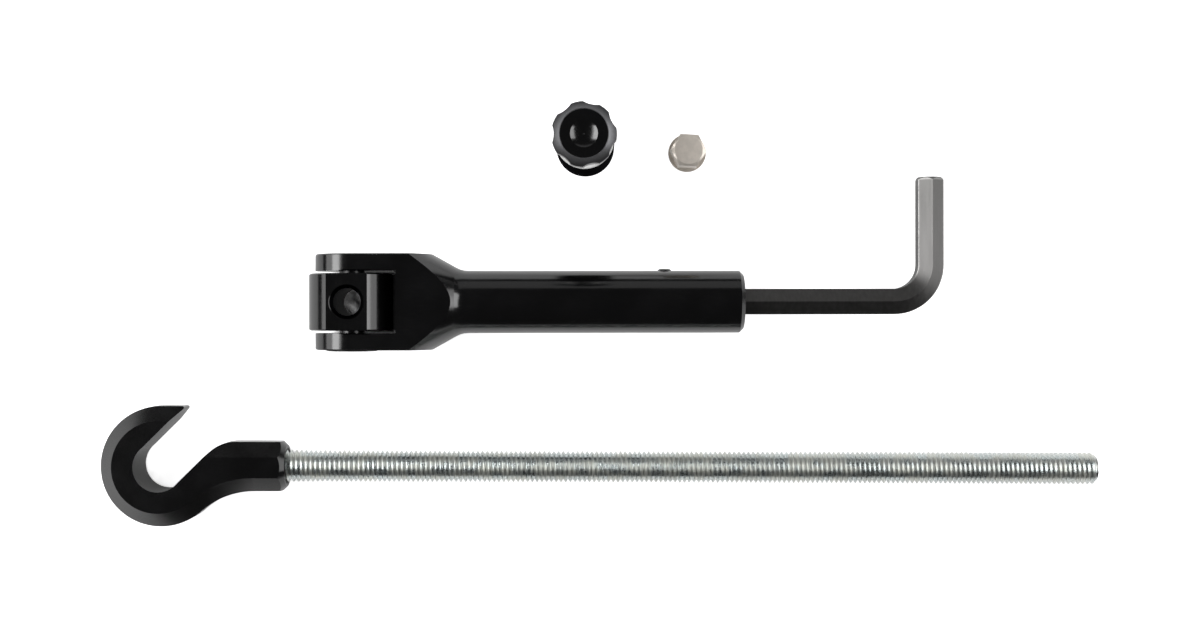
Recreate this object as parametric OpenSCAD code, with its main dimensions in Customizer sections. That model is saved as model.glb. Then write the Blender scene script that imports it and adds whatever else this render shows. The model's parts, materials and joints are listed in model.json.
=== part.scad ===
// Crank bolt tool, laid out in its loose groups on a table.
// Millimetres, +Z up. The origin is the lever's pivot, in the middle of the swivel
// block's tapped bore, and the lever runs along +X.

/* [Lever] */
// Distance from the swivel pivot to the end of the tube
lever_len = 122.2; // [100:0.1:150]
// Diameter of the tube
tube_d = 19.5; // [17:0.1:22]
// Chamfer round the tube's end
tube_chamfer = 1.2; // [0.4:0.1:2]
// Width of the head across its two ears
head_w = 29.8; // [28:0.1:36]
// Thickness of the head between its flats
head_t = 22.7; // [22:0.1:26]
// Distance from the pivot at which the flare is as wide as the head
flare_start = 25.2; // [22:0.1:32]
// Half angle of the flare's cone
flare_angle = 29.5; // [24:0.5:40]
// Radius of the hollow between the flare and the tube
flare_fillet = 8; // [3:0.5:12]
// Width of the slot between the ears
slot_w = 19.2; // [17:0.1:21]
// Edge break along the head's edges
edge_break = 0.4; // [0.2:0.1:0.8]
// Edge break along the end of the slot
slot_end_break = 0.6; // [0.2:0.1:1]

/* [Swivel block] */
// How far each flat of the block stands past the head's flats
block_proud = 0.35; // [0.1:0.05:0.5]
// Width of each flat of the block
block_flat_w = 12.6; // [12:0.1:16]
// Gap between the block and each ear
block_gap = 0.75; // [0.3:0.05:1.2]
// Gap between the block and the end wall of the slot
block_turn_gap = 0.8; // [0.4:0.1:3]
// Edge break round the block's ends
block_break = 0.4; // [0.2:0.1:0.8]
// Diameter of the rod's tapped holes, thread crest to thread crest
tap_d = 8.5; // [8:0.1:9]
// Diameter of the countersinks of the tapped bore
block_sink_d = 10.9; // [10:0.1:11.5]

/* [Pivot screws] */
// Diameter of the journals that the block turns on
journal_d = 8; // [6:0.1:9]
// Radial running clearance of the journals
journal_clear = 0.05; // [0.02:0.01:0.1]
// Wall left between a journal's socket and the rod
journal_wall = 0.6; // [0.4:0.1:1.5]
// Diameter of the thread in the ear
pivot_thread_d = 10; // [9.5:0.1:11]
// Diameter of the screw's head
pivot_head_d = 16; // [12:0.1:17]
// Depth of the head's seat in the ear
pivot_seat = 1.5; // [1:0.1:2.5]
// How far the front screw's head stands out of its ear
front_head_proud = 0.4; // [0.1:0.05:1]
// How far the rear screw's head stands out of its ear
rear_head_proud = 0; // [0:0.05:1]
// Radial clearance of the head in its seat
head_clear = 0.1; // [0.05:0.05:0.3]
// Gap between a journal's end and the floor of its socket
journal_end_gap = 0.3; // [0.2:0.1:0.6]
// Size across flats of the screw's hex recess
pivot_drive = 5; // [4:0.5:6]
// Depth of that recess
pivot_drive_depth = 3; // [2:0.5:4]

/* [Hex key] */
// Size across flats of the key
key_af = 8; // [7:0.1:9]
// Overall length of the long leg
key_long = 108; // [90:0.5:120]
// Overall length of the short leg
key_short = 43; // [34:0.5:60]
// How far the key reaches out of the tube
key_out = 62.8; // [45:0.1:75]
// Radius inside the key's bend
key_bend = 7.6; // [4:0.1:12]
// Chamfer on the key's two ends
key_chamfer = 0.9; // [0.4:0.1:1.4]
// Clearance between the key and its socket, on each flat
key_clear = 0.05; // [0.02:0.01:0.15]
// Free depth of the socket behind the key
key_relief = 1; // [0.5:0.5:5]
// Depth of the lead-in at the socket's mouth
socket_lead = 0.8; // [0.3:0.1:1.5]

/* [Grub screw] */
// Diameter of the grub screw
grub_d = 5; // [4:0.5:6]
// Distance from the tube's end to the grub screw
grub_from_end = 24.6; // [10:0.1:35]
// How far the grub screw stands out of the tube
grub_proud = 0.5; // [0.1:0.1:1]
// Chamfer on the grub screw's ends
grub_chamfer = 0.8; // [0.4:0.1:1]
// Size across flats of the grub screw's recess
grub_drive = 2.5; // [2:0.5:3]
// Depth of that recess
grub_drive_depth = 2.5; // [1.5:0.5:3]

/* [Hook] */
// Thickness of the hook
hook_t = 15.5; // [14:0.1:18]
// Outer radius of the hook's ring
ring_r = 18.85; // [17.5:0.05:21]
// Radius of the throat
throat_r = 7.75; // [6.5:0.05:8.5]
// Step between the throat and each wall of the mouth
mouth_step = 0.05; // [0.02:0.01:0.5]
// Chamfer along the outer contour
hook_chamfer = 4.5; // [3:0.1:5]
// Distance from the throat's centre to the end of the neck
neck_reach = 38.9; // [36:0.1:50]
// Width of the neck
neck_w = 15.45; // [14:0.05:18]
// Chamfer round the end of the neck
neck_end_chamfer = 1.2; // [0.4:0.1:1.8]
// Radius of the hollow below the neck
under_r = 25.2; // [15:0.1:28]
// Radius of the round between the neck and the mouth
shoulder_r = 10; // [4:0.5:11]
// Radius on the tip of the jaw
tip_r = 0.6; // [0.3:0.1:1.2]

/* [Threaded rod] */
// Diameter of the rod over its thread
rod_d = 10; // [9.6:0.1:10]
// Length of the rod outside the neck
rod_out = 255; // [150:1:320]
// Length of the rod inside the neck
rod_in = 18; // [14:1:20]
// Gap between the neck's end and the rod's full thread
rod_start = 0.3; // [0.1:0.1:1]
// Free depth of the neck's hole behind the rod
rod_relief = 1; // [0.5:0.1:1.5]
// Chamfer on the rod's ends
rod_chamfer = 1; // [0.4:0.1:1.5]
// Radial clearance of the rod and of the screws in their holes
thread_clear = 0.02; // [0.01:0.01:0.05]
// Diameter of the countersink in the neck's end
rod_sink_d = 11.4; // [11:0.1:12.4]

/* [Replacement axle] */
// Diameter of the sleeve
sleeve_d = 18.4; // [16:0.1:24]
// Height of the sleeve
sleeve_h = 24.5; // [18:0.1:40]
// Thickness of the washer on the sleeve
washer_t = 1.2; // [0.6:0.1:2.5]
// Diameter of the washer
washer_d = 17.9; // [15:0.1:18.4]
// Chamfer on the washer's edges
washer_chamfer = 0.2; // [0.1:0.1:0.4]
// Diameter of the spindle
spindle_d = 12; // [10:0.1:13]
// Radial running clearance of the spindle
spindle_clear = 0.05; // [0.02:0.01:0.1]
// Height of the spindle's lower end above the table
spindle_foot = 0.6; // [0.3:0.1:5]
// Gap between the washer and the knob
knob_gap = 9.3; // [2:0.1:20]
// Diameter of the knob over its lobes
knob_d = 19.5; // [18:0.1:26]
// Height of the knob
knob_h = 7; // [6:0.1:14]
// Number of lobes
knob_lobes = 7; // [5:1:10]
// Depth of the scallops between the lobes
scallop_depth = 0.8; // [0.4:0.1:1.6]
// Radius of the scallops
scallop_r = 7; // [4:0.1:9]
// Diameter of the knob's top face inside the bevel
knob_face_d = 14.8; // [12:0.1:16]
// Drop of the bevel from the face to the lobes
bevel_drop = 2.2; // [1:0.1:3]
// Chamfer under the lobes
lobe_chamfer = 1.5; // [0.3:0.1:2.5]
// Depth of the dish in the top face
dish_depth = 0.5; // [0.2:0.1:1]
// Run of the dish's sloping edge
dish_run = 0.3; // [0.1:0.1:1]
// Diameter of the cone in the middle of the dish
dimple_d = 8.2; // [5:0.1:10]
// Depth of that cone
dimple_depth = 1.5; // [0.5:0.1:2.5]
// Direction of the first scallop, clockwise from +Y
scallop_turn = 13; // [0:1:51]

/* [Hex adapter] */
// Size across flats of the adapter
adapter_af = 9.9; // [9.6:0.1:12]
// Height of the adapter
adapter_h = 11; // [8:0.1:16]
// Overhang of the flange past the hex's corners
flange_over = 0.3; // [0.1:0.05:1.5]
// Thickness of the flange
flange_t = 1.5; // [1:0.1:3]
// Chamfer on the flange's edges
flange_chamfer = 0.15; // [0.05:0.05:0.25]
// Thickness of the closed top
adapter_roof = 1.7; // [1:0.1:3]
// Clearance on each flat of the key
adapter_clear = 0.1; // [0.05:0.01:0.2]
// Angle of the chamfer round the top
adapter_chamfer = 30; // [15:1:40]
// Diameter of the flat top inside that chamfer
adapter_top_d = 8.7; // [8:0.1:9.5]

/* [Edges] */
// Chamfer on turned edges that have no size of their own
fine_chamfer = 0.3; // [0.1:0.1:0.5]

/* [Layout] */
// Place of the hook's throat along X
hook_x = -59.9; // [-75:0.1:-50]
// Place of the hook's throat along Y
hook_y = -51.2; // [-80:0.1:-48]
// Turn of the rod against the lever
rod_turn = -0.33; // [-1.5:0.01:1.5]
// Place of the axle along X
axle_x = 72.75; // [40:0.1:110]
// Place of the axle along Y
axle_y = 49.3; // [30:0.1:80]
// Distance from the axle to the adapter along X
adapter_dx = 32.5; // [25:0.1:60]
// Distance from the axle to the adapter along Y
adapter_dy = -1.8; // [-10:0.1:10]
// Turn of the adapter
adapter_turn = -3; // [-30:1:30]

/* [Hidden] */
$fn = 96;
// Reach of cutters past what they cut
past = 1;

tube_r = tube_d / 2;
head_r = head_w / 2;
// Radius of the turned blank, past the head's corners
blank_r = sqrt(pow(head_w, 2) + pow(head_t, 2)) / 2 + past;
ear_t = (head_w - slot_w) / 2;

// Where the flare would meet the tube and where the flats run out of it
flare_end = flare_start + (head_r - tube_r) / tan(flare_angle);
flat_end = flare_start + (head_r - head_t / 2) / tan(flare_angle);
flare_far = flare_start - (blank_r - head_r) / tan(flare_angle);
fillet_x = flare_end + flare_fillet * tan(flare_angle / 2);

// The lever rests on the end of its lower flat and on the tube's end
tube_foot = lever_len - tube_chamfer;
lever_lean = atan((head_t - tube_d) / 2 / (tube_foot - flat_end));
table_z = -(flat_end * sin(lever_lean) + head_t / 2 * cos(lever_lean));

block_h = head_t + 2 * block_proud;
block_d = sqrt(pow(block_h, 2) + pow(block_flat_w, 2));
block_len = slot_w - 2 * block_gap;
slot_end = block_d / 2 + block_turn_gap;
sink_depth = (block_sink_d - tap_d) / 2;

socket_in = rod_d / 2 + journal_wall;
journal_end = socket_in + journal_end_gap;

key_r = key_af / 2;
key_in = key_long - key_out;
key_axis_x = lever_len + key_out - key_r;
bend_r = key_bend + key_r;
// Length of each leg's end that carries the chamfer
key_tip = 2 * key_chamfer + past;
grub_x = lever_len - grub_from_end;

half_t = hook_t / 2;
half_neck = neck_w / 2;
under_y = -(half_neck + under_r);
under_x = sqrt(pow(ring_r + under_r, 2) - pow(under_y, 2));
// The mouth runs at 45 degrees, a little narrower than the throat
mouth_half = throat_r - mouth_step;
mouth_offset = mouth_half * sqrt(2);
shoulder_x = half_neck + mouth_offset;
tip_x = ring_r - mouth_offset;

// The hook rests on the end of its neck, and the rod on its far end
neck_foot = neck_reach - neck_end_chamfer;
rod_foot = neck_reach + rod_out - rod_chamfer;
rod_lean = atan((half_t - rod_d / 2) / (rod_foot - neck_foot));
rod_sink = (rod_sink_d - tap_d) / 2;
hook_z = neck_foot * sin(rod_lean) + half_t * cos(rod_lean);

sleeve_top = sleeve_h + washer_t;
knob_z = sleeve_top + knob_gap;
adapter_corner_r = adapter_af / 2 / cos(30);
flange_d = 2 * (adapter_corner_r + flange_over);

// Hexagon with two corners on the local Y axis
module hex_2d(af) {
    rotate(30) circle(d = af / cos(30), $fn = 6);
}

// Rectangle with 45 degree corners, centred
module chamfered_rect(w, h, c) {
    polygon([
        [-w / 2 + c, -h / 2], [w / 2 - c, -h / 2], [w / 2, -h / 2 + c], [w / 2, h / 2 - c],
        [w / 2 - c, h / 2], [-w / 2 + c, h / 2], [-w / 2, h / 2 - c], [-w / 2, -h / 2 + c]
    ]);
}

// Round bar along Z from z0 to z1 with a chamfer on both ends
module chamfered_bar(d, z0, z1, c) {
    translate([0, 0, z0]) rotate_extrude()
        polygon([[0, 0], [d / 2 - c, 0], [d / 2, c], [d / 2, z1 - z0 - c],
                 [d / 2 - c, z1 - z0], [0, z1 - z0]]);
}

// Children drawn along Z are laid along +X, with local Y up
module along_x() {
    rotate([90, 0, 90]) children();
}

// Children drawn along Z are laid along +Y, with local X kept
module along_y() {
    rotate([-90, 0, 0]) children();
}

// Frame of the lever: its axis is X
module in_lever() {
    rotate([0, lever_lean, 0]) children();
}

// Frame of the hook: the throat's axis is Z, the rod runs along X
module in_hook() {
    translate([hook_x, hook_y, table_z + hook_z])
        rotate([0, 0, rod_turn]) rotate([0, rod_lean, 0]) children();
}

// Frame of the axle: it stands on the table
module in_axle() {
    translate([axle_x, axle_y, table_z]) children();
}

// Turned blank of the lever: tube, hollow, flare and the head's full round
module lever_blank() {
    flare_tangent_x = fillet_x - flare_fillet * sin(flare_angle);
    flare_tangent_r = tube_r + flare_fillet * (1 - cos(flare_angle));
    rotate([0, 90, 0]) rotate_extrude() {
        polygon([[0, -blank_r], [blank_r, -blank_r], [blank_r, flare_far], [tube_r, flare_end],
                 [tube_r, lever_len - tube_chamfer], [tube_r - tube_chamfer, lever_len],
                 [0, lever_len]]);
        difference() {
            polygon([[0, flare_tangent_x], [flare_tangent_r, flare_tangent_x],
                     [tube_r + flare_fillet, fillet_x], [tube_r, fillet_x], [0, fillet_x]]);
            translate([tube_r + flare_fillet, fillet_x]) circle(r = flare_fillet);
        }
    }
}

// Milled outline of the head: flats and sides, full round about the pivot
module head_prism() {
    along_x() linear_extrude(lever_len + past) chamfered_rect(head_w, head_t, edge_break);
    along_y() chamfered_bar(head_t, -head_r, head_r, edge_break);
}

// Slot between the ears, with its edges broken at both flats
module fork_slot() {
    half = head_t / 2;
    flared = slot_w / 2 + edge_break + past;
    translate([-blank_r, 0, 0]) along_x() linear_extrude(blank_r + slot_end) {
        square([slot_w, head_t + 2 * past], center = true);
        for (side = [0, 1]) mirror([0, side])
            polygon([[-slot_w / 2, half - edge_break], [slot_w / 2, half - edge_break],
                     [flared, half + past], [-flared, half + past]]);
    }
    for (side = [0, 1]) mirror([0, 0, side])
        translate([0, slot_w / 2, 0]) rotate([90, 0, 0]) linear_extrude(slot_w)
            polygon([[0, half - slot_end_break], [slot_end, half - slot_end_break],
                     [slot_end + slot_end_break + past, half + past], [0, half + past]]);
}

// Hole and head seat in one ear for a pivot screw
module pivot_hole() {
    along_y() {
        cylinder(d = pivot_thread_d + 2 * thread_clear, h = head_r + past);
        translate([0, 0, head_r - pivot_seat])
            cylinder(r = pivot_head_d / 2 + head_clear, h = pivot_seat + past);
    }
}

// Broached socket for the key, with its drilled pilot and a lead-in
module key_socket() {
    depth = key_in + key_relief;
    across = key_af + 2 * key_clear;
    translate([lever_len - depth, 0, 0]) along_x() {
        linear_extrude(depth + past) hex_2d(across);
        translate([0, 0, -across / 2]) cylinder(d1 = 0, d2 = across, h = across / 2);
    }
    translate([lever_len - socket_lead, 0, 0]) rotate([0, 90, 0])
        cylinder(d1 = across, d2 = across + 2 * (socket_lead + past), h = socket_lead + past);
}

module lever_body() {
    color("#1b1b1d") in_lever() difference() {
        intersection() {
            lever_blank();
            head_prism();
        }
        fork_slot();
        pivot_hole();
        mirror([0, 1, 0]) pivot_hole();
        key_socket();
        translate([grub_x, 0, 0]) along_y() cylinder(d = grub_d + 2 * thread_clear, h = tube_r + past);
    }
}

// Round cross block with two flats, tapped through and turning on two journals
module swivel_block() {
    color("#202022") difference() {
        intersection() {
            along_y() chamfered_bar(block_d, -block_len / 2, block_len / 2, block_break);
            translate([-block_d, 0, 0]) along_x() linear_extrude(2 * block_d)
                chamfered_rect(block_len, block_h, block_break);
        }
        cylinder(d = tap_d, h = block_h + 2 * past, center = true);
        for (side = [0, 1]) mirror([0, 0, side]) translate([0, 0, block_h / 2 - sink_depth])
            cylinder(d1 = tap_d, d2 = block_sink_d + 2 * past, h = sink_depth + past);
        for (side = [0, 1]) mirror([0, side, 0]) along_y() translate([0, 0, socket_in])
            cylinder(d = journal_d + 2 * journal_clear, h = block_len);
    }
}

// Shoulder screw on the +Y side: journal, thread and low head
module pivot_screw(proud) {
    top = head_r + proud;
    color("#2a2a2c") in_lever() along_y() difference() {
        union() {
            chamfered_bar(journal_d, journal_end, slot_w / 2 + past, fine_chamfer);
            translate([0, 0, slot_w / 2]) cylinder(d = pivot_thread_d, h = ear_t - pivot_seat);
            chamfered_bar(pivot_head_d, head_r - pivot_seat, top, fine_chamfer);
        }
        translate([0, 0, top - pivot_drive_depth])
            linear_extrude(pivot_drive_depth + past) hex_2d(pivot_drive);
    }
}

module pivot_screw_rear() {
    pivot_screw(rear_head_proud);
}

module pivot_screw_front() {
    mirror([0, 1, 0]) pivot_screw(front_head_proud);
}

// Hexagonal leg along Z with its far end chamfered at 45 degrees
module key_leg(len) {
    corner_r = key_r / cos(30);
    wide = corner_r + past;
    linear_extrude(len - key_tip) hex_2d(key_af);
    intersection() {
        translate([0, 0, len - key_tip]) linear_extrude(key_tip) hex_2d(key_af);
        rotate_extrude()
            polygon([[0, 0], [wide, 0], [wide, len - key_chamfer - past],
                     [corner_r - key_chamfer, len], [corner_r - key_chamfer, len + past],
                     [0, len + past]]);
    }
}

// Bent hexagonal bar, corner up: the bend, the long leg back into the tube and
// the short leg towards +Y
module hex_key() {
    color("#3a3b3d") in_lever() translate([key_axis_x - bend_r, bend_r, 0]) rotate(-90) {
        rotate_extrude(angle = 90) translate([bend_r, 0]) hex_2d(key_af);
        translate([bend_r, 0, 0]) rotate([90, 0, 0]) key_leg(key_long - key_r - bend_r);
        translate([0, bend_r, 0]) rotate([0, -90, 0]) rotate(90)
            key_leg(key_short - key_r - bend_r);
    }
}

module grub_screw() {
    top = tube_r + grub_proud;
    color("#2f2f31") in_lever() translate([grub_x, 0, 0]) along_y() difference() {
        chamfered_bar(grub_d, key_r, top, grub_chamfer);
        translate([0, 0, top - grub_drive_depth])
            linear_extrude(grub_drive_depth + past) hex_2d(grub_drive);
    }
}

// Cutter for the hollow below the neck, wider at both faces by the chamfer
module under_cut() {
    translate([under_x, under_y, 0]) rotate_extrude()
        polygon([[0, -half_t - past], [under_r + hook_chamfer + past, -half_t - past],
                 [under_r, -half_t + hook_chamfer], [under_r, half_t - hook_chamfer],
                 [under_r + hook_chamfer + past, half_t + past], [0, half_t + past]]);
}

// Removes a corner of an outline beyond a round of radius r. The corner is at
// the origin and opens along +X with the given inner angle.
module corner_round(inner, r) {
    half = inner / 2;
    along = r / tan(half);
    touch = [along * cos(half), along * sin(half)];
    clear = [touch[0] - past * sin(half), touch[1] + past * cos(half)];
    difference() {
        polygon([[r / sin(half), 0], touch, clear, [-past / sin(half), 0],
                 [clear[0], -clear[1]], [touch[0], -touch[1]]]);
        translate([r / sin(half), 0]) circle(r = r);
    }
}

// Disc with 45 degree chamfers, centred on the origin
module chamfered_disc(r, t, c) {
    rotate_extrude()
        polygon([[0, -t / 2], [r - c, -t / 2], [r, -t / 2 + c], [r, t / 2 - c], [r - c, t / 2],
                 [0, t / 2]]);
}

// Cone that chamfers the neck's end
module neck_envelope() {
    end_r = half_t - neck_end_chamfer;
    rotate([0, 90, 0]) rotate_extrude()
        polygon([[0, -past], [2 * half_t, -past], [2 * half_t, neck_reach - 2 * half_t + end_r],
                 [end_r, neck_reach], [0, neck_reach]]);
}

module hook() {
    color("#1c1c1e") in_hook() difference() {
        union() {
            chamfered_disc(ring_r, hook_t, hook_chamfer);
            // Straight jaw above the throat
            along_x() linear_extrude(tip_x + past) polygon([
                [0, -half_t], [ring_r - hook_chamfer, -half_t], [ring_r, -half_t + hook_chamfer],
                [ring_r, half_t - hook_chamfer], [ring_r - hook_chamfer, half_t], [0, half_t]
            ]);
            // Neck
            intersection() {
                along_x() linear_extrude(neck_reach) chamfered_rect(neck_w, hook_t, hook_chamfer);
                neck_envelope();
            }
            // Web between the ring and the neck
            difference() {
                linear_extrude(hook_t, center = true)
                    polygon([[0, 0], [under_x, 0], [under_x, under_y]]);
                under_cut();
            }
        }
        translate([0, 0, -half_t - past]) linear_extrude(hook_t + 2 * past) {
            circle(r = throat_r);
            rotate(45) translate([0, -mouth_half]) square([3 * ring_r, 2 * mouth_half]);
            translate([shoulder_x, half_neck]) rotate(-67.5) corner_round(135, shoulder_r);
            translate([tip_x, ring_r]) rotate(202.5) corner_round(45, tip_r);
        }
        translate([neck_reach - rod_in - rod_relief, 0, 0]) along_x()
            cylinder(d = tap_d, h = rod_in + rod_relief + past);
        translate([neck_reach - rod_sink, 0, 0]) along_x()
            cylinder(d1 = tap_d, d2 = rod_sink_d + 2 * past, h = rod_sink + past);
    }
}

// Rod, with its thread left at the root inside the neck
module threaded_rod() {
    root_r = tap_d / 2 - thread_clear;
    inner = neck_reach - rod_in;
    end = neck_reach + rod_out;
    color("#b9bcba") in_hook() rotate([0, 90, 0]) rotate_extrude()
        polygon([[0, inner], [root_r - rod_chamfer, inner], [root_r, inner + rod_chamfer],
                 [root_r, neck_reach + rod_start], [rod_d / 2, neck_reach + rod_start],
                 [rod_d / 2, end - rod_chamfer], [rod_d / 2 - rod_chamfer, end], [0, end]]);
}

module axle_sleeve() {
    color("#1d1d1f") in_axle() difference() {
        chamfered_bar(sleeve_d, 0, sleeve_h, fine_chamfer);
        translate([0, 0, -past])
            cylinder(d = spindle_d + 2 * spindle_clear, h = sleeve_h + 2 * past);
    }
}

module axle_washer() {
    color("#d9d9d6") in_axle() translate([0, 0, sleeve_h]) difference() {
        chamfered_bar(washer_d, 0, washer_t, washer_chamfer);
        translate([0, 0, -past])
            cylinder(d = spindle_d + 2 * spindle_clear, h = washer_t + 2 * past);
    }
}

module axle_spindle() {
    color("#a8a9a6") in_axle() chamfered_bar(spindle_d, spindle_foot, knob_z, fine_chamfer);
}

// Knob with scalloped rim, bevelled shoulder and a dished face
module axle_knob() {
    knob_r = knob_d / 2;
    face_r = knob_face_d / 2;
    dimple_r = dimple_d / 2;
    scallop_c = knob_r - scallop_depth + scallop_r;
    color("#2b2b2e") in_axle() translate([0, 0, knob_z]) difference() {
        rotate_extrude()
            polygon([[0, 0], [knob_r - lobe_chamfer, 0], [knob_r, lobe_chamfer],
                     [knob_r, knob_h - bevel_drop], [face_r, knob_h],
                     [face_r - dish_run, knob_h - dish_depth],
                     [dimple_r, knob_h - dish_depth], [0, knob_h - dish_depth - dimple_depth]]);
        for (i = [0:knob_lobes - 1])
            rotate(90 - scallop_turn - i * 360 / knob_lobes) translate([scallop_c, 0, -past])
                cylinder(r = scallop_r, h = knob_h + 2 * past);
    }
}

// Hex that fits over the key's tip: closed top, round flange, blind hex socket
module hex_adapter() {
    wide = adapter_corner_r + past;
    fall = (wide - adapter_top_d / 2) * tan(adapter_chamfer);
    color("#aaa096") in_axle() translate([adapter_dx, adapter_dy, 0]) rotate(adapter_turn)
        difference() {
            union() {
                chamfered_bar(flange_d, 0, flange_t, flange_chamfer);
                intersection() {
                    linear_extrude(adapter_h) rotate(30) hex_2d(adapter_af);
                    rotate(30) rotate_extrude()
                        polygon([[0, 0], [wide, 0], [wide, adapter_h - fall],
                                 [adapter_top_d / 2, adapter_h], [0, adapter_h]]);
                }
            }
            translate([0, 0, -past]) linear_extrude(adapter_h - adapter_roof + past)
                rotate(30) hex_2d(key_af + 2 * adapter_clear);
        }
}

lever_body();
swivel_block();
pivot_screw_front();
pivot_screw_rear();
hex_key();
grub_screw();
hook();
threaded_rod();
axle_sleeve();
axle_washer();
axle_spindle();
axle_knob();
hex_adapter();
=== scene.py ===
"""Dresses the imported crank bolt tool: finishes, the cut threads and the studio."""

import json
import math

import bpy
from bpy.props import FloatProperty, FloatVectorProperty, IntProperty, PointerProperty
from mathutils import Matrix, Vector


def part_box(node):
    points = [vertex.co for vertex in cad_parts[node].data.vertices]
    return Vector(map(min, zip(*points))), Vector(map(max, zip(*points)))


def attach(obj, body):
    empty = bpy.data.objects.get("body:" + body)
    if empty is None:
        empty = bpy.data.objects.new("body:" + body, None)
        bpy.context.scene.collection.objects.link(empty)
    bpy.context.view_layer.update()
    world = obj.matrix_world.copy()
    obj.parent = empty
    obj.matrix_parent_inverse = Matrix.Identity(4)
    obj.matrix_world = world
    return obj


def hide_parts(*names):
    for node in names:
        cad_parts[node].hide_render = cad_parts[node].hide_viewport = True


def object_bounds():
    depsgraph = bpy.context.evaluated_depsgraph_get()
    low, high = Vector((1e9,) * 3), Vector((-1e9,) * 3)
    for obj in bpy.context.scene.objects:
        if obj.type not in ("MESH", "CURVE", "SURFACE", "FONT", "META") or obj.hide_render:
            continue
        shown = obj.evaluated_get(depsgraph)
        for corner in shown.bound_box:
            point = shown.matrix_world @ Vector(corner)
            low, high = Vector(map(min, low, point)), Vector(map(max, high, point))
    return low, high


bl_info = {
    "name": "Crank bolt tool",
    "version": (1, 0, 0),
    "blender": (4, 5, 0),
    "location": "View3D > Sidebar > Crank tool",
    "description": "Finishes, cut threads and studio for the crank bolt tool",
    "category": "Object",
}

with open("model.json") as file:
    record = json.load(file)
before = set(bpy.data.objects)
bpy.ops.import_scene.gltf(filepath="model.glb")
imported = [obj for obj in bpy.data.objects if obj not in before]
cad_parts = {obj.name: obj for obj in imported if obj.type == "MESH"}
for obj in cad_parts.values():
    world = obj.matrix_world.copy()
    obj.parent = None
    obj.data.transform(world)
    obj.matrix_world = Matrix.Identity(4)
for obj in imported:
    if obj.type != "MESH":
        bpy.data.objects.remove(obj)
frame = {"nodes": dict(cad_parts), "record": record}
NODES = frame["nodes"]
CAD_LOW, CAD_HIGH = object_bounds()
TABLE_Z = CAD_LOW.z

MM = 0.001
GRAIN_DEPTH = 0.02 * MM
KEY_FLAT = 4.0 * MM
KEY_BEND = 11.6 * MM
KEY_LEAN = math.radians(1.0)
SINK_RADIUS = 5.2 * MM
ROD_AXIS = next(Vector(m["axis"]) for m in frame["record"]["mounts"] if m["name"] == "rod_end")
ROD_MIDDLE = next(Vector(m["pos_m"]) for m in frame["record"]["mounts"] if m["name"] == "rod_end")


class CRANKTOOL_PG_thread(bpy.types.PropertyGroup):
    """Sizes of the metric thread"""
    pitch: FloatProperty(
        name="Pitch", description="Distance from crest to crest",
        default=1.5 * MM, min=1.0 * MM, max=2.0 * MM, precision=5, subtype="DISTANCE", unit="LENGTH")
    rod_diameter: FloatProperty(
        name="Rod diameter", description="Diameter over the crests of the rod's thread",
        default=10.0 * MM, min=9.6 * MM, max=10.0 * MM, precision=5, subtype="DISTANCE", unit="LENGTH")
    depth: FloatProperty(
        name="Depth", description="Depth of the thread from crest to root",
        default=0.92 * MM, min=0.6 * MM, max=1.0 * MM, precision=5, subtype="DISTANCE", unit="LENGTH")
    end_chamfer: FloatProperty(
        name="End chamfer", description="Chamfer at the ends of the rod",
        default=1.0 * MM, min=0.3 * MM, max=1.5 * MM, precision=5, subtype="DISTANCE", unit="LENGTH")
    run_in: FloatProperty(
        name="Run-in", description="How far the thread reaches into the countersink of the hook's neck",
        default=1.55 * MM, min=0.0, max=1.6 * MM, precision=5, subtype="DISTANCE", unit="LENGTH")
    steps: IntProperty(
        name="Steps", description="Steps in one turn of the thread",
        default=40, min=24, max=64)


class CRANKTOOL_PG_finishes(bpy.types.PropertyGroup):
    """Colours and gloss of the finishes"""
    black: FloatVectorProperty(
        name="Black oxide", description="Colour of the blackened steel",
        default=(0.0015, 0.0015, 0.0017), min=0, max=1, size=3, subtype="COLOR")
    key: FloatVectorProperty(
        name="Key steel", description="Colour of the hex key",
        default=(0.108, 0.106, 0.104), min=0, max=1, size=3, subtype="COLOR")
    key_worn: FloatVectorProperty(
        name="Worn key steel", description="Colour of the hex key where it is worn bright",
        default=(0.098, 0.097, 0.094), min=0, max=1, size=3, subtype="COLOR")
    # Painted highlight: the bright colour of the hex key's corner lines, for light caught on its edges,
    # partly rubbed wear.
    key_edge_highlight: FloatVectorProperty(
        name="Key edges", description="Colour of the hex key's rubbed corners",
        default=(0.34, 0.335, 0.33), min=0, max=1, size=3, subtype="COLOR")
    zinc: FloatVectorProperty(
        name="Zinc", description="Colour of the plated rod",
        default=(0.74, 0.765, 0.75), min=0, max=1, size=3, subtype="COLOR")
    bright: FloatVectorProperty(
        name="Bright steel", description="Colour of the turned washer and spindle",
        default=(0.9, 0.9, 0.89), min=0, max=1, size=3, subtype="COLOR")
    nickel: FloatVectorProperty(
        name="Satin nickel", description="Colour of the hex adapter",
        default=(0.72, 0.66, 0.59), min=0, max=1, size=3, subtype="COLOR")
    # The knob's shoulder colour, kept at the shoulder's inner edge as a painted bright line; outwards it
    # is darkened as painted shade.
    knob: FloatVectorProperty(
        name="Knob", description="Colour of the knob's satin shoulder",
        default=(0.24, 0.24, 0.25), min=0, max=1, size=3, subtype="COLOR")
    knob_face: FloatVectorProperty(
        name="Knob face", description="Colour of the knob's dished face",
        default=(0.0016, 0.0016, 0.0018), min=0, max=1, size=3, subtype="COLOR")


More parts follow.
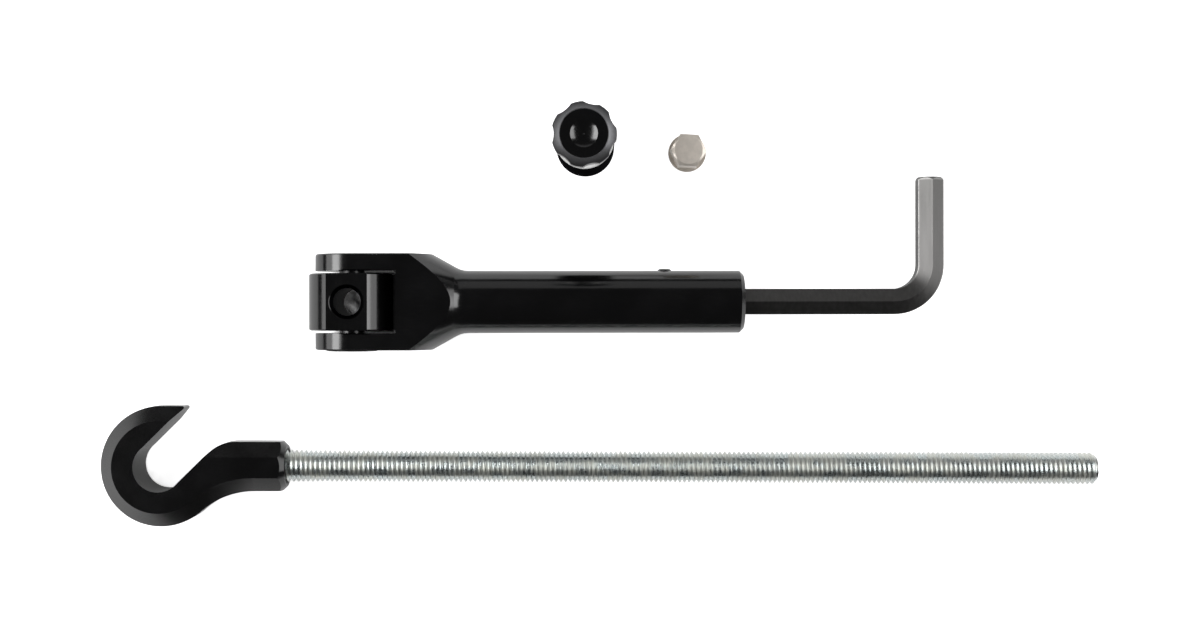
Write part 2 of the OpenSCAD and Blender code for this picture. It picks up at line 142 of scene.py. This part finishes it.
class CRANKTOOL_PG_studio(bpy.types.PropertyGroup):
    """Camera, table and lamps"""
    camera_height: FloatProperty(
        name="Camera height", description="Height of the camera above the table",
        default=0.5116, min=0.3, max=2.0, precision=4, subtype="DISTANCE", unit="LENGTH")
    camera_x: FloatProperty(
        name="Camera X", description="Place of the camera along the lever",
        default=0.07739, min=-0.5, max=0.5, precision=5, subtype="DISTANCE", unit="LENGTH")
    camera_y: FloatProperty(
        name="Camera Y", description="Place of the camera across the lever",
        default=-0.00381, min=-0.5, max=0.5, precision=5, subtype="DISTANCE", unit="LENGTH")
    camera_roll: FloatProperty(
        name="Camera roll", description="Turn of the camera about its own axis",
        default=math.radians(-0.08), min=-0.1, max=0.1, precision=4, subtype="ANGLE", unit="ROTATION")
    lens: FloatProperty(
        name="Lens", description="Focal length on a 36 mm wide sensor",
        default=48.0, min=20.0, max=200.0)
    table_colour: FloatVectorProperty(
        name="Table", description="Colour of the table",
        default=(0.9, 0.9, 0.9), min=0, max=1, size=3, subtype="COLOR")
    sheet_margin: FloatProperty(
        name="Sheet margin", description="How far the white sheet reaches past the tool before it darkens",
        default=0.12, min=0.0, max=1.0, precision=3, subtype="DISTANCE", unit="LENGTH")
    sheet_shift: FloatProperty(
        name="Sheet shift", description="How far the white sheet lies to the back of the tool",
        default=0.05, min=-1.0, max=1.0, precision=3, subtype="DISTANCE", unit="LENGTH")
    left_power: FloatProperty(
        name="Left lamp", description="Power of the soft box at the hook's end",
        default=4.9, min=0.0, max=200.0, subtype="POWER", unit="POWER")
    left_spill_power: FloatProperty(
        name="Left spill", description="Power of the glow round that soft box",
        default=4.6, min=0.0, max=200.0, subtype="POWER", unit="POWER")
    right_power: FloatProperty(
        name="Right lamp", description="Power of the soft box at the key's end",
        default=4.5, min=0.0, max=200.0, subtype="POWER", unit="POWER")
    right_spill_power: FloatProperty(
        name="Right spill", description="Power of the glow below that soft box",
        default=2.4, min=0.0, max=200.0, subtype="POWER", unit="POWER")
    back_power: FloatProperty(
        name="Back lamp", description="Power of the weak panel behind the axle",
        default=0.57, min=0.0, max=200.0, subtype="POWER", unit="POWER")
    room: FloatProperty(
        name="Room light", description="Strength of the light that comes from all round",
        default=0.11, min=0.0, max=1.0)
    dark_room: FloatProperty(
        name="Dark room", description="Strength of the room in reflections",
        default=0.045, min=0.0, max=1.0)


def deselect_all():
    if bpy.context.object and bpy.context.object.mode != "OBJECT":
        bpy.ops.object.mode_set(mode="OBJECT")
    bpy.ops.object.select_all(action="DESELECT")


def make_active(obj):
    deselect_all()
    obj.select_set(True)
    bpy.context.view_layer.objects.active = obj


def apply_place(obj, matrix):
    """Puts the piece at its place and leaves its object at the origin."""
    make_active(obj)
    obj.matrix_world = matrix
    bpy.ops.object.transform_apply(location=True, rotation=True, scale=True)


def smooth_by_angle(obj, degrees):
    make_active(obj)
    bpy.ops.object.shade_smooth_by_angle(angle=math.radians(degrees))


def cut_square(obj, height, keep_above):
    """Cuts the piece square to Z and closes the cut."""
    make_active(obj)
    bpy.ops.object.mode_set(mode="EDIT")
    bpy.ops.mesh.select_all(action="SELECT")
    bpy.ops.mesh.bisect(
        plane_co=(0, 0, height), plane_no=(0, 0, 1), use_fill=True,
        clear_inner=keep_above, clear_outer=not keep_above, threshold=1e-7)
    bpy.ops.object.mode_set(mode="OBJECT")


def thread_strip(name, profile, pitch, turns, steps):
    """Sweeps one pitch of a thread's profile, a list of (radius, height), up the Z axis."""
    deselect_all()
    bpy.ops.mesh.primitive_plane_add(size=pitch, location=(0, 0, 0))
    obj = bpy.context.object
    obj.name = name
    bpy.ops.object.mode_set(mode="EDIT")
    bpy.ops.mesh.select_all(action="SELECT")
    bpy.ops.mesh.merge(type="CENTER")
    radius, height = profile[0]
    bpy.ops.transform.translate(value=(radius, 0, height))
    for next_radius, next_height in profile[1:]:
        bpy.ops.mesh.extrude_region_move(
            TRANSFORM_OT_translate={"value": (next_radius - radius, 0, next_height - height)})
        radius, height = next_radius, next_height
    bpy.ops.object.mode_set(mode="OBJECT")
    screw = obj.modifiers.new("Thread", "SCREW")
    screw.axis = "Z"
    screw.angle = math.tau
    screw.screw_offset = pitch
    screw.iterations = turns
    screw.steps = steps
    screw.render_steps = steps
    screw.use_smooth_shade = True
    make_active(obj)
    bpy.ops.object.modifier_apply(modifier=screw.name)
    bpy.ops.object.mode_set(mode="EDIT")
    bpy.ops.mesh.select_all(action="SELECT")
    bpy.ops.mesh.remove_doubles(threshold=pitch * 0.01)
    bpy.ops.mesh.normals_make_consistent(inside=False)
    bpy.ops.object.mode_set(mode="OBJECT")
    return obj


def draw_in(obj, limit):
    """Draws each vertex in to the radius that limit gives for its height."""
    for vertex in obj.data.vertices:
        most = limit(vertex.co.z)
        radius = math.hypot(vertex.co.x, vertex.co.y)
        if radius > most:
            vertex.co.x *= most / radius
            vertex.co.y *= most / radius


class Finish:
    """A procedural material under construction."""

    def __init__(self, name, colour, metallic, roughness, specular=0.5):
        self.material = bpy.data.materials.new(name)
        self.material.use_nodes = True
        self.material.diffuse_color = (*colour, 1.0)
        self.nodes = self.material.node_tree.nodes
        self.links = self.material.node_tree.links
        self.shader = next(n for n in self.nodes if n.type == "BSDF_PRINCIPLED")
        self.shader.inputs["Base Color"].default_value = (*colour, 1.0)
        self.shader.inputs["Metallic"].default_value = metallic
        self.shader.inputs["Roughness"].default_value = roughness
        self.shader.inputs["Specular IOR Level"].default_value = specular
        self.place = self.nodes.new("ShaderNodeTexCoord").outputs["Object"]

    def noise(self, scale, detail=3.0, stretch=(1, 1, 1), roughness=0.5, turn=(0, 0, 0)):
        mapping = self.nodes.new("ShaderNodeMapping")
        mapping.inputs["Scale"].default_value = stretch
        mapping.inputs["Rotation"].default_value = turn
        texture = self.nodes.new("ShaderNodeTexNoise")
        texture.inputs["Scale"].default_value = scale
        texture.inputs["Detail"].default_value = detail
        texture.inputs["Roughness"].default_value = roughness
        self.links.new(self.place, mapping.inputs["Vector"])
        self.links.new(mapping.outputs["Vector"], texture.inputs["Vector"])
        return texture.outputs["Fac"]

    def spread(self, value, low, high, to_low, to_high, smooth=True):
        """Maps value from low..high to to_low..to_high."""
        node = self.nodes.new("ShaderNodeMapRange")
        node.interpolation_type = "SMOOTHSTEP" if smooth else "LINEAR"
        for name, number in (("From Min", low), ("From Max", high),
                             ("To Min", to_low), ("To Max", to_high)):
            node.inputs[name].default_value = number
        self.links.new(value, node.inputs["Value"])
        return node.outputs["Result"]

    def math(self, operation, first, second):
        node = self.nodes.new("ShaderNodeMath")
        node.operation = operation
        for socket, value in zip(node.inputs, (first, second)):
            if isinstance(value, (int, float)):
                socket.default_value = value
            else:
                self.links.new(value, socket)
        return node.outputs["Value"]

    def mix(self, factor, first, second):
        """Mixes two colours, each a socket or three numbers."""
        node = self.nodes.new("ShaderNodeMix")
        node.data_type = "RGBA"
        self.links.new(factor, node.inputs["Factor"])
        for name, value in (("A", first), ("B", second)):
            socket = next(i for i in node.inputs if i.name == name and i.type == "RGBA")
            if isinstance(value, bpy.types.NodeSocket):
                self.links.new(value, socket)
            else:
                socket.default_value = (*value, 1.0)
        return next(o for o in node.outputs if o.type == "RGBA")

    def axis(self, letter):
        """One Object coordinate, in metres."""
        node = self.nodes.new("ShaderNodeSeparateXYZ")
        self.links.new(self.place, node.inputs["Vector"])
        return node.outputs[letter]

    def hypot(self, first, second):
        """Length across two sides that meet at a right angle."""
        squares = [self.math("MULTIPLY", value, value) for value in (first, second)]
        return self.math("SQRT", self.math("ADD", *squares), 0.0)

    def from_axis(self, centre):
        """Distance from an upright axis, in metres."""
        return self.hypot(*(self.math("SUBTRACT", self.axis(letter), place)
                            for letter, place in (("X", centre.x), ("Y", centre.y))))

    def outside(self, centre, half):
        """Distance past the sides of an upright box, in metres."""
        past = []
        for letter, place, reach in (("X", centre.x, half.x), ("Y", centre.y, half.y)):
            aside = self.math("ABSOLUTE", self.math("SUBTRACT", self.axis(letter), place), 0.0)
            past.append(self.math("MAXIMUM", self.math("SUBTRACT", aside, reach), 0.0))
        return self.hypot(*past)

    def set(self, socket, value):
        self.links.new(value, self.shader.inputs[socket])

    def bump(self, height, strength, distance=GRAIN_DEPTH):
        node = self.nodes.new("ShaderNodeBump")
        node.inputs["Strength"].default_value = strength
        node.inputs["Distance"].default_value = distance
        self.links.new(height, node.inputs["Height"])
        self.links.new(node.outputs["Normal"], self.shader.inputs["Normal"])


def black_oxide(name, colour, grain=(1, 1, 1), roughness=(0.13, 0.18), specular=0.8,
                relief=0.05, bore=0.0):
    """Blackened steel with a fine machined grain and a little oil; inside the bore's radius it is painted
    shade, a near-black metal that barely reflects, and duller.
    """
    finish = Finish(name, colour, 0.0, sum(roughness) / 2, specular)
    cloud = finish.noise(90, 4)
    fine = finish.noise(2600, 2, grain)
    finish.set("Base Color", finish.mix(
        finish.spread(cloud, 0.3, 0.7, 0, 1), [c * 0.8 for c in colour], [c * 1.35 for c in colour]))
    rough = finish.math(
        "ADD", finish.spread(cloud, 0.3, 0.7, *roughness),
        finish.spread(fine, 0.35, 0.75, 0.0, 0.03))
    if bore:
        # Painted shade: inside the bore and countersink the steel becomes a metal of the near-black
        # colour, so it hardly reflects.
        bore_shade = finish.spread(finish.from_axis(Vector()), bore, bore + 0.1 * MM, 1.0, 0.0)
        finish.set("Metallic", bore_shade)
        rough = finish.math("ADD", rough, finish.math("MULTIPLY", bore_shade, 0.35))
    finish.set("Roughness", rough)
    finish.bump(fine, relief)
    return finish.material


def dress(node, material):
    """Gives a CAD node its finish."""
    slots = NODES[node].material_slots
    for slot in slots:
        slot.material = material


class CRANKTOOL_OT_blackened(bpy.types.Operator):
    """Give the lever, the swivel block, the hook and the screws their black finish"""
    bl_idname = "cranktool.blackened"
    bl_label = "Blackened steel"

    def execute(self, context):
        colour = tuple(context.scene.cranktool_finishes.black)
        dress("lever_body", black_oxide("lever_black", colour, (0.12, 1, 1)))
        dress("swivel_block", black_oxide("block_black", colour, (1, 0.1, 1), bore=SINK_RADIUS))
        dress("hook", black_oxide("hook_black", colour, (1, 1, 0.15), (0.12, 0.16), relief=0.05))
        screw = black_oxide("screw_black", [c * 2 for c in colour], (1, 1, 1), (0.22, 0.3))
        for node in ("pivot_screw_front", "pivot_screw_rear", "grub_screw"):
            dress(node, screw)
        return {"FINISHED"}


class CRANKTOOL_OT_key(bpy.types.Operator):
    """Give the hex key its dark steel, worn bright at the free end, with a painted highlight along its
    corners and at its tip, partly rubbed wear
    """
    bl_idname = "cranktool.key"
    bl_label = "Hex key"

    def execute(self, context):
        colours = context.scene.cranktool_finishes
        dark, worn, rubbed_and_highlight = tuple(colours.key), tuple(colours.key_worn), tuple(colours.key_edge_highlight)
        finish = Finish("key_steel", dark, 1.0, 0.4)
        along = finish.axis("Y")
        streaks = finish.noise(1100, 3, (1, 0.08, 1))
        spots = finish.noise(2200, 4)
        reach = finish.math("ADD", along, finish.spread(spots, 0.3, 0.7, -2.0 * MM, 2.0 * MM))
        wear = finish.spread(reach, 22.0 * MM, 36.0 * MM, 0.0, 1.0)
        mottle = finish.spread(spots, 0.35, 0.65, 0.35, 1.0)
        scratch = finish.spread(streaks, 0.45, 0.7, 0.0, 0.5)
        worn_in = finish.math("MULTIPLY", wear, finish.math("MAXIMUM", mottle, scratch))
        steel = finish.mix(finish.spread(streaks, 0.3, 0.75, 0, 1),
                           [c * 0.93 for c in dark], [c * 1.08 for c in dark])
        # Painted highlight along the key's corners, broken up in patches like rubbed wear.
        edges = finish.math(
            "MULTIPLY", self.corners(finish), finish.spread(along, 0.0, 12.0 * MM, 0.12, 0.8))
        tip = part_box("hex_key")[1].y
        # Painted highlight: a thin bright band just short of the tip, for light on the tip's chamfer.
        end = finish.spread(along, tip - 1.0 * MM, tip - 0.85 * MM, 0.0, 0.35)
        rubbed_patchy_highlight = finish.math("MULTIPLY", edges, finish.spread(spots, 0.3, 0.6, 0.4, 1))
        edges = finish.math("MAXIMUM", rubbed_patchy_highlight, end)
        finish.set("Base Color", finish.mix(edges, finish.mix(worn_in, steel, worn), rubbed_and_highlight))
        finish.set("Roughness", finish.spread(streaks, 0.25, 0.75, 0.36, 0.43))
        finish.bump(streaks, 0.06)
        dress("hex_key", finish.material)
        return {"FINISHED"}

    def corners(self, finish):
        """Mask of a painted highlight: one along the hex key's side corners, straight and round the bend,
        faint on the upper corners.
        """
        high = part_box("hex_key")[1]
        axis_x = high.x - KEY_FLAT
        heights = [v.co.z for v in NODES["hex_key"].data.vertices if v.co.y > high.y - 2.0 * MM]
        past = finish.math(
            "MAXIMUM", finish.math("SUBTRACT", finish.axis("X"), axis_x - KEY_BEND), 0.0)
        short = finish.math(
            "MINIMUM", finish.math("SUBTRACT", finish.axis("Y"), KEY_BEND), 0.0)
        aside = finish.math("SUBTRACT", finish.hypot(past, short), KEY_BEND)
        fall = math.tan(KEY_LEAN)
        level = (min(heights) + max(heights)) / 2 + axis_x * fall
        above = finish.math("ADD", finish.math("SUBTRACT", finish.axis("Z"), level),
                            finish.math("MULTIPLY", finish.axis("X"), fall))
        corner = finish.spread(
            finish.hypot(aside, above), 1.105 * KEY_FLAT, 1.14 * KEY_FLAT, 0.0, 1.0)
        off_top = finish.spread(above, 0.8 * KEY_FLAT, 0.9 * KEY_FLAT, 1.0, 0.1)
        return finish.math("MULTIPLY", off_top, corner)


class CRANKTOOL_OT_rod(bpy.types.Operator):
    """Cut the thread of the rod and plate it with zinc"""
    bl_idname = "cranktool.rod"
    bl_label = "Threaded rod"

    def execute(self, context):
        thread = context.scene.cranktool_thread
        pitch, radius, depth = thread.pitch, thread.rod_diameter / 2, thread.depth
        points = [Vector(v.co) - ROD_MIDDLE for v in NODES["threaded_rod"].data.vertices]
        along = [point.dot(ROD_AXIS) for point in points]
        low, high = min(along), max(along)
        length = high - low
        full_start = min(a for point, a in zip(points, along)
                         if (point - ROD_AXIS * a).length > 0.98 * radius)
        turns = math.ceil(length / pitch) + 3
        flank = depth * math.tan(math.radians(30))
        crest = pitch / 8
        root = pitch - crest - 2 * flank
        profile = [
            (radius, 0), (radius, crest), (radius - depth, crest + flank),
            (radius - depth - 0.04 * MM, crest + flank + root / 2),
            (radius - depth, pitch - flank), (radius, pitch)]
        rod = thread_strip("rod_thread", profile, pitch, turns, thread.steps)
        bottom = 1.2 * pitch
        cut_square(rod, bottom, keep_above=True)
        cut_square(rod, bottom + length, keep_above=False)
        root_radius = radius - depth
        cone_start = bottom + full_start - low - thread.run_in

        def limit(height):
            end = min(height - bottom, bottom + length - height)
            return min(radius - thread.end_chamfer + end,
                       root_radius + max(0.0, height - cone_start))

        draw_in(rod, limit)
        smooth_by_angle(rod, 32)
        turn = ROD_AXIS.to_track_quat("Z", "Y").to_matrix().to_4x4()
        start = ROD_MIDDLE + ROD_AXIS * low
        apply_place(rod, Matrix.Translation(start) @ turn @ Matrix.Translation((0, 0, -bottom)))

        colour = tuple(context.scene.cranktool_finishes.zinc)
        finish = Finish("zinc_plate", colour, 1.0, 0.3)
        bloom = finish.noise(260, 4)
        wipe = finish.noise(60, 2)
        tint = finish.mix(finish.spread(bloom, 0.35, 0.65, 0, 1),
                          [colour[0] * 0.95, colour[1] * 0.97, colour[2] * 0.99],
                          [colour[0] * 1.04, colour[1] * 1.02, colour[2] * 0.99])
        finish.set("Base Color", finish.mix(
            finish.spread(wipe, 0.4, 0.7, 0, 0.3), tint, [c * 0.8 for c in colour]))
        finish.set("Roughness", finish.spread(bloom, 0.3, 0.7, 0.22, 0.38))
        rod.data.materials.clear()
        rod.data.materials.append(finish.material)
        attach(rod, "root")
        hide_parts("threaded_rod")
        return {"FINISHED"}


class CRANKTOOL_OT_axle(bpy.types.Operator):
    """Give the axle its black sleeve, bright washer, spindle and anodised knob, with painted shade on the
    knob's shoulder
    """
    bl_idname = "cranktool.axle"
    bl_label = "Axle"

    def execute(self, context):
        colours = context.scene.cranktool_finishes
        dress("axle_sleeve", black_oxide(
            "sleeve_black", [c * 4 for c in colours.black], (1, 1, 0.1), (0.8, 0.9), specular=0.0))
        bright = tuple(colours.bright)
        for node, dim, metallic in (("axle_washer", 1.0, 0.15), ("axle_spindle", 0.6, 0.9)):
            finish = Finish(node + "_steel", [c * dim for c in bright], metallic, 0.4)
            rings = finish.noise(700, 3, (1, 1, 4))
            finish.set("Base Color", finish.mix(
                finish.spread(rings, 0.3, 0.7, 0, 1),
                [c * dim * 0.93 for c in bright], [c * dim for c in bright]))
            finish.set("Roughness", finish.spread(rings, 0.3, 0.7, 0.3, 0.42))
            dress(node, finish.material)
        knob, face = tuple(colours.knob), tuple(colours.knob_face)
        low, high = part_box("axle_sleeve")
        finish = Finish("knob_anodised", knob, 0.6, 0.4, 0.8)
        satin = finish.noise(1800, 3)
        radius = finish.from_axis((low + high) / 2)
        face_edge = 7.15 * MM, 7.3 * MM
        rim = finish.spread(radius, *face_edge, 0.0, 1.0)
        # The solid's dimple is a cone, and this rounds it into a ball's hollow.
        ball, dimple, slope = 9.2 * MM, 4.1 * MM, 1.5 / 4.1
        inner = finish.math("MINIMUM", radius, dimple)
        depth = finish.math("SQRT", finish.math(
            "SUBTRACT", ball * ball, finish.math("MULTIPLY", inner, inner)), 0.0)
        hollow = finish.math("MULTIPLY", finish.math(
            "ADD", depth, finish.math("MULTIPLY", inner, slope)), -1.0)
        # Painted shade: the shoulder darkens outwards to 0.3 of its colour, for its rounded side turning
        # away from the lamps, so it is brightest by the face.
        shoulder = finish.spread(radius, 7.4 * MM, 9.3 * MM, 0.0, 1.0, smooth=False)
        shaded_shell = finish.mix(finish.math("ADD", shoulder, finish.spread(satin, 0.3, 0.7, -0.05, 0.05)),
                           knob, [c * 0.3 for c in knob])
        finish.set("Base Color", finish.mix(rim, face, shaded_shell))
        finish.set("Metallic", finish.math("MULTIPLY", rim, 0.8))
        finish.set("Roughness", finish.math(
            "ADD", finish.spread(satin, 0.3, 0.7, 0.0, 0.06),
            finish.spread(radius, *face_edge, 0.14, 0.34)))
        relief = finish.math("MULTIPLY", satin, 0.001 * MM)
        finish.bump(finish.math("ADD", hollow, relief), 1.0, 1.0)
        dress("axle_knob", finish.material)
        return {"FINISHED"}


class CRANKTOOL_OT_adapter(bpy.types.Operator):
    """Give the hex adapter its satin nickel"""
    bl_idname = "cranktool.adapter"
    bl_label = "Hex adapter"

    def execute(self, context):
        colour = tuple(context.scene.cranktool_finishes.nickel)
        finish = Finish("satin_nickel", colour, 0.45, 0.45)
        grain = finish.noise(2400, 3, (1, 0.35, 1))
        cloud = finish.noise(500, 3)
        finish.set("Base Color", finish.mix(
            finish.spread(cloud, 0.3, 0.7, 0, 1),
            [c * 0.94 for c in colour], [c * 1.05 for c in colour]))
        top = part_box("hex_adapter")[1].z
        satin = finish.spread(finish.axis("Z"), top - 0.12 * MM, top - 0.05 * MM, 0.0, 1.0)
        finish.set("Metallic", finish.spread(satin, 0.0, 1.0, 0.5, 0.45))
        finish.set("Roughness", finish.math(
            "ADD", finish.spread(satin, 0.0, 1.0, 0.3, 0.42),
            finish.spread(grain, 0.3, 0.7, 0, 0.06)))
        finish.bump(grain, 0.08)
        dress("hex_adapter", finish.material)
        return {"FINISHED"}


class CRANKTOOL_OT_studio(bpy.types.Operator):
    """Set up the table, the lamps and the camera"""
    bl_idname = "cranktool.studio"
    bl_label = "Studio"

    def execute(self, context):
        studio = context.scene.cranktool_studio
        self.table(studio)
        centre = Vector((studio.camera_x, studio.camera_y, TABLE_Z))
        for name, power, place, size in (
                ("left_box", studio.left_power, (-0.75, 0.1, 0.73), (0.85, 0.4)),
                ("left_spill", studio.left_spill_power, (-0.75, 0.1, 0.55), (0.85, 0.87)),
                ("right_box", studio.right_power, (0.78, 0.1, 0.8), (0.85, 0.4)),
                ("right_spill", studio.right_spill_power, (0.78, 0.1, 0.28), (0.85, 0.5)),
                ("back_panel", studio.back_power, (0.0, 0.85, 0.38), (1.0, 0.5))):
            self.panel(name, power, centre + Vector(place), centre, size)
        self.world(studio)
        self.camera(studio)
        scene = context.scene
        scene.view_settings.view_transform = "Standard"
        return {"FINISHED"}

    def table(self, studio):
        deselect_all()
        bpy.ops.mesh.primitive_plane_add(size=8, location=(0, 0, 0))
        floor = bpy.context.object
        floor.name = "table"
        bpy.ops.object.mode_set(mode="EDIT")
        bpy.ops.mesh.select_all(action="SELECT")
        bpy.ops.mesh.subdivide(number_cuts=3)
        bpy.ops.object.mode_set(mode="OBJECT")
        apply_place(floor, Matrix.Translation((0, 0, TABLE_Z)))
        finish = Finish("table_white", tuple(studio.table_colour), 0.0, 0.9, 0.2)
        finish.set("Roughness", finish.spread(finish.noise(40, 2), 0.3, 0.7, 0.85, 0.95))
        middle, half = (CAD_LOW + CAD_HIGH) / 2, (CAD_HIGH - CAD_LOW) / 2
        middle.y += studio.sheet_shift
        sheet = finish.spread(
            finish.outside(middle, half), studio.sheet_margin, 2 * studio.sheet_margin, 1.0, 0.0)
        finish.set("Base Color", finish.mix(
            sheet, [c * 0.13 for c in studio.table_colour], tuple(studio.table_colour)))
        path = finish.nodes.new("ShaderNodeLightPath")
        shade = finish.nodes.new("ShaderNodeAmbientOcclusion")
        shade.inputs["Distance"].default_value = 0.009
        open_sky = finish.spread(shade.outputs["AO"], 0.27, 0.4, 0.0, 0.9)
        camera = finish.math("MULTIPLY", path.outputs["Is Camera Ray"], open_sky)
        mirror = finish.math("MAXIMUM", path.outputs["Is Glossy Ray"], path.outputs["Is Transmission Ray"])
        mirror = finish.math("MULTIPLY", finish.math("MULTIPLY", mirror, sheet), 0.1)
        finish.shader.inputs["Emission Color"].default_value = (1, 1, 1, 1)
        finish.set("Emission Strength", finish.math("ADD", camera, mirror))
        floor.data.materials.append(finish.material)

    def panel(self, name, power, place, target, size):
        data = bpy.data.lights.new(name, "AREA")
        data.shape = "RECTANGLE"
        data.size, data.size_y = size
        data.energy = power
        lamp = bpy.data.objects.new(name, data)
        bpy.context.scene.collection.objects.link(lamp)
        lamp.location = place
        lamp.rotation_euler = (target - place).to_track_quat("-Z", "Y").to_euler()
        lamp.visible_camera = False

    def world(self, studio):
        world = bpy.data.worlds.new("studio_room")
        bpy.context.scene.world = world
        world.use_nodes = True
        nodes, links = world.node_tree.nodes, world.node_tree.links
        background = next(n for n in nodes if n.type == "BACKGROUND")
        background.inputs["Color"].default_value = (1, 1, 1, 1)
        path = nodes.new("ShaderNodeLightPath")
        strength = studio.dark_room
        for ray, more in (("Is Diffuse Ray", studio.room - studio.dark_room),
                          ("Is Camera Ray", 1.0 - studio.dark_room)):
            node = nodes.new("ShaderNodeMath")
            node.operation = "MULTIPLY_ADD"
            links.new(path.outputs[ray], node.inputs[0])
            node.inputs[1].default_value = more
            if isinstance(strength, float):
                node.inputs[2].default_value = strength
            else:
                links.new(strength, node.inputs[2])
            strength = node.outputs[0]
        links.new(strength, background.inputs["Strength"])

    def camera(self, studio):
        data = bpy.data.cameras.new("camera")
        data.lens = studio.lens
        data.sensor_width = 36.0
        data.clip_start, data.clip_end = 0.01, 50.0
        camera = bpy.data.objects.new("camera", data)
        bpy.context.scene.collection.objects.link(camera)
        camera.location = (studio.camera_x, studio.camera_y, TABLE_Z + studio.camera_height)
        camera.rotation_euler = (0.0, 0.0, studio.camera_roll)
        bpy.context.scene.camera = camera


STEPS = ("blackened", "key", "rod", "axle", "adapter", "studio")


class CRANKTOOL_PT_panel(bpy.types.Panel):
    """Lists the sizes, the finishes and the steps"""
    bl_idname = "CRANKTOOL_PT_panel"
    bl_label = "Crank bolt tool"
    bl_space_type = "VIEW_3D"
    bl_region_type = "UI"
    bl_category = "Crank tool"

    def draw(self, context):
        scene = context.scene
        for group in (scene.cranktool_thread, scene.cranktool_finishes, scene.cranktool_studio):
            box = self.layout.box()
            for name in group.bl_rna.properties.keys():
                if name not in ("rna_type", "name"):
                    box.prop(group, name)
        for step in STEPS:
            self.layout.operator("cranktool." + step)


GROUPS = {
    "cranktool_thread": CRANKTOOL_PG_thread,
    "cranktool_finishes": CRANKTOOL_PG_finishes,
    "cranktool_studio": CRANKTOOL_PG_studio,
}
CLASSES = (
    *GROUPS.values(), CRANKTOOL_OT_blackened, CRANKTOOL_OT_key, CRANKTOOL_OT_rod,
    CRANKTOOL_OT_axle, CRANKTOOL_OT_adapter, CRANKTOOL_OT_studio, CRANKTOOL_PT_panel)


def register():
    for cls in CLASSES:
        bpy.utils.register_class(cls)
    for name, cls in GROUPS.items():
        setattr(bpy.types.Scene, name, PointerProperty(type=cls))


def unregister():
    for name in GROUPS:
        delattr(bpy.types.Scene, name)
    for cls in reversed(CLASSES):
        bpy.utils.unregister_class(cls)


def main():
    register()
    for step in STEPS:
        getattr(bpy.ops.cranktool, step)()


if __name__ == "__main__":
    main()
